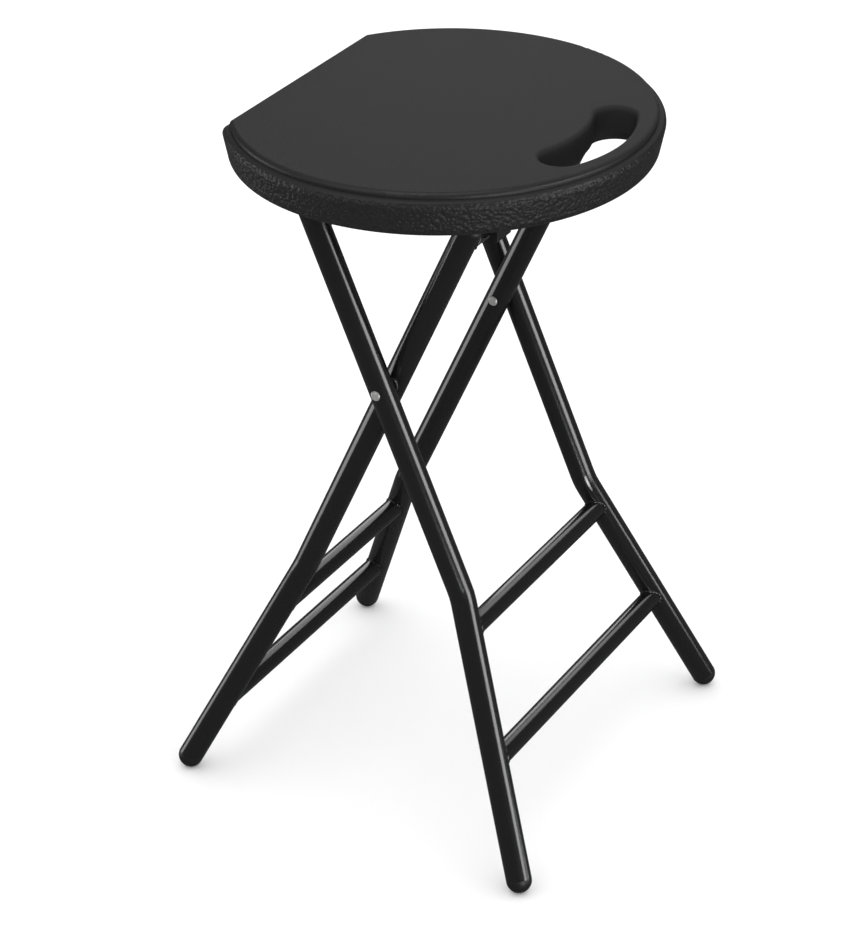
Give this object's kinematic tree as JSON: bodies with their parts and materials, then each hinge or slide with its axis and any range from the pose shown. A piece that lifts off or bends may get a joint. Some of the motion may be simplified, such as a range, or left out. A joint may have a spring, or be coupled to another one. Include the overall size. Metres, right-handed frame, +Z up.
{
  "type": "folding stool",
  "caption": "Folding stool: hollow moulded seat with a carry handle, hinged on crossed tube frames that fold flat under it.",
  "frame": {"origin": "on the floor, midway along and across the open stool", "axes": "+Z up, +X towards the carry handle, +Y to the stool's left along the hinge and pivot axes"},
  "size_m": [0.3668, 0.396, 0.61],
  "materials": {
    "seat_plastic": "fine matte grain on the deck, pebbled grain on the rim",
    "block_plastic": "satin moulded",
    "cap_plastic": "satin moulded",
    "black_enamel": "gloss enamel",
    "zinc_steel": "zinc plated"
  },
  "bodies": {
    "outer_frame": {"outer_leg_left": "black_enamel", "outer_leg_right": "black_enamel", "outer_leg_plug_left": "cap_plastic", "outer_leg_plug_right": "cap_plastic", "outer_foot_cap_left": "cap_plastic", "outer_foot_cap_right": "cap_plastic", "pivot_rivet_left": "zinc_steel", "pivot_rivet_right": "zinc_steel", "pivot_spacer_left": "zinc_steel", "pivot_spacer_right": "zinc_steel", "outer_top_tube": "black_enamel", "outer_upper_rung": "black_enamel", "outer_lower_rung": "black_enamel"},
    "inner_frame": {"inner_leg_left": "black_enamel", "inner_leg_right": "black_enamel", "inner_leg_plug_left": "cap_plastic", "inner_leg_plug_right": "cap_plastic", "inner_foot_cap_left": "cap_plastic", "inner_foot_cap_right": "cap_plastic", "inner_top_tube": "black_enamel", "inner_upper_rung": "black_enamel", "inner_lower_rung": "black_enamel"},
    "seat": {"seat_shell": "seat_plastic", "hinge_block_left": "block_plastic", "hinge_block_right": "block_plastic", "hinge_strap_left": "zinc_steel", "hinge_strap_right": "zinc_steel", "latch_block_left": "block_plastic", "latch_block_right": "block_plastic", "hinge_block_screws": "zinc_steel", "latch_block_screws": "zinc_steel", "strap_screws": "zinc_steel"}
  },
  "joints": [
    {"name": "seat_fold", "type": "hinge", "parent": "outer_frame", "child": "seat", "pos_m": [-0.05917, 0, 0.541], "axis": [0, -1, 0], "range_deg": [0, 113.6]},
    {"name": "leg_fold", "type": "hinge", "parent": "outer_frame", "child": "inner_frame", "pos_m": [0.00244, 0, 0.39998], "axis": [0, -1, 0], "range_deg": [0, 37.5]}
  ],
  "couplings": [
    {"joint": "leg_fold", "follows": "seat_fold", "ratio": 0.33}
  ]
}
